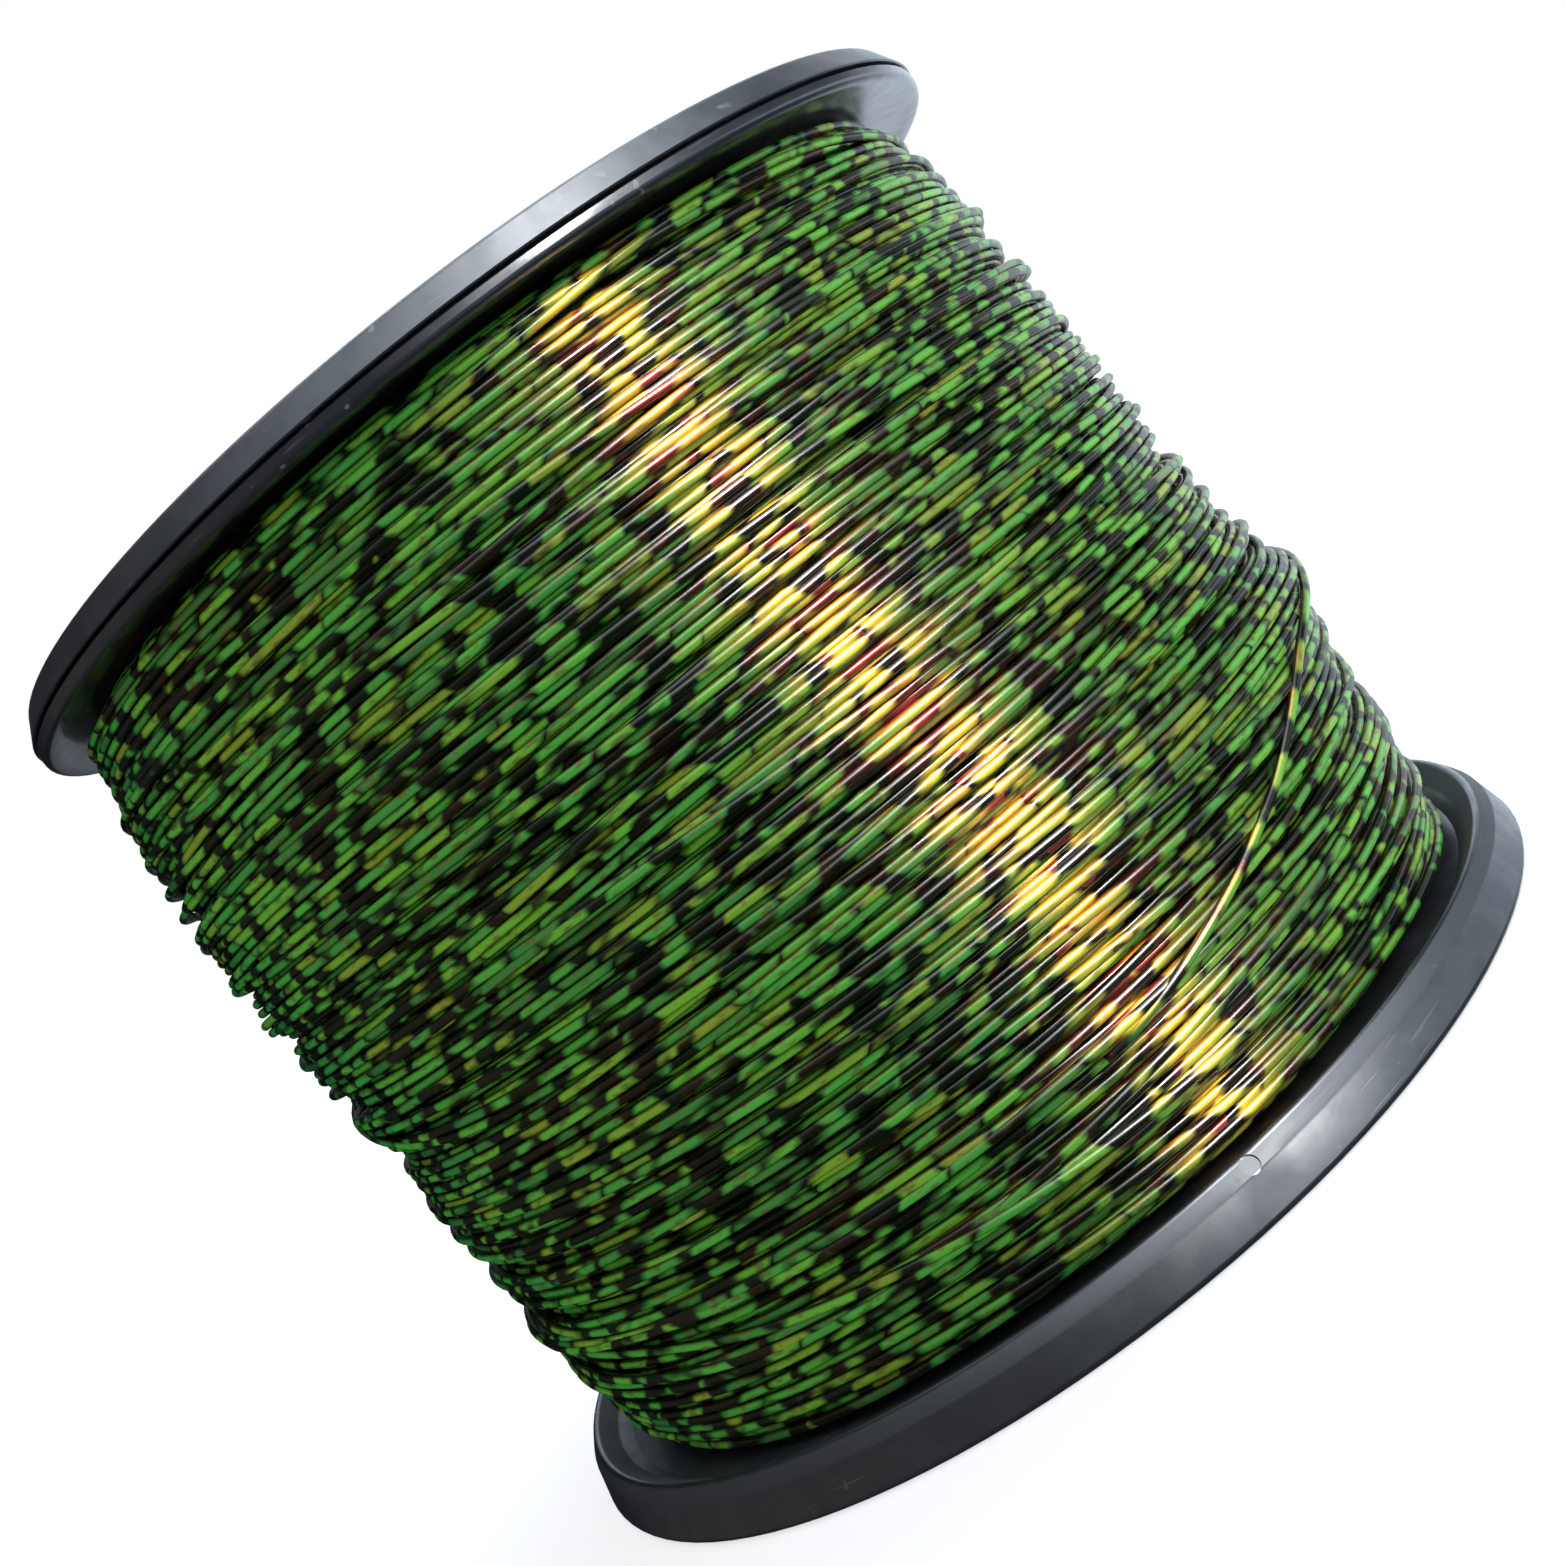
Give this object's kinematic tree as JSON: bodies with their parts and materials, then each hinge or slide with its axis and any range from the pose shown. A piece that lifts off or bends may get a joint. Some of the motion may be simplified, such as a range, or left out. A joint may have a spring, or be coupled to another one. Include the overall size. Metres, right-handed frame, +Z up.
{
  "type": "fishing line spool",
  "caption": "Black flanged bulk spool full of mottled green fishing line, with a pop-up line keeper cap and a central spindle bore.",
  "frame": {"origin": "centre of the lower flange's outer face, on the floor", "axes": "+Z up along the spool's axis, from the plain flange to the flange with the keeper cap; the gate mark on the lower lip is near -Y"},
  "size_m": [0.09, 0.09, 0.075],
  "materials": {
    "black_plastic": "satin moulded black with fine scratches and dust",
    "label_paper": "plain uncoated paper, blank",
    "tape_film": "clear adhesive tape",
    "line": "glossy mottled green and near-black monofilament"
  },
  "bodies": {
    "spool": {"lower_half": "black_plastic", "upper_half": "black_plastic", "lower_label": "label_paper", "start_tape": "tape_film", "line_core": "line", "line_winding": "line", "line_tail": "line"},
    "cap": {"keeper_cap": "black_plastic", "upper_label": "label_paper"}
  },
  "joints": [
    {"name": "cap_pop", "type": "slide", "parent": "spool", "child": "cap", "axis": [0, 0, 1], "range_m": [0, 0.0025]}
  ]
}
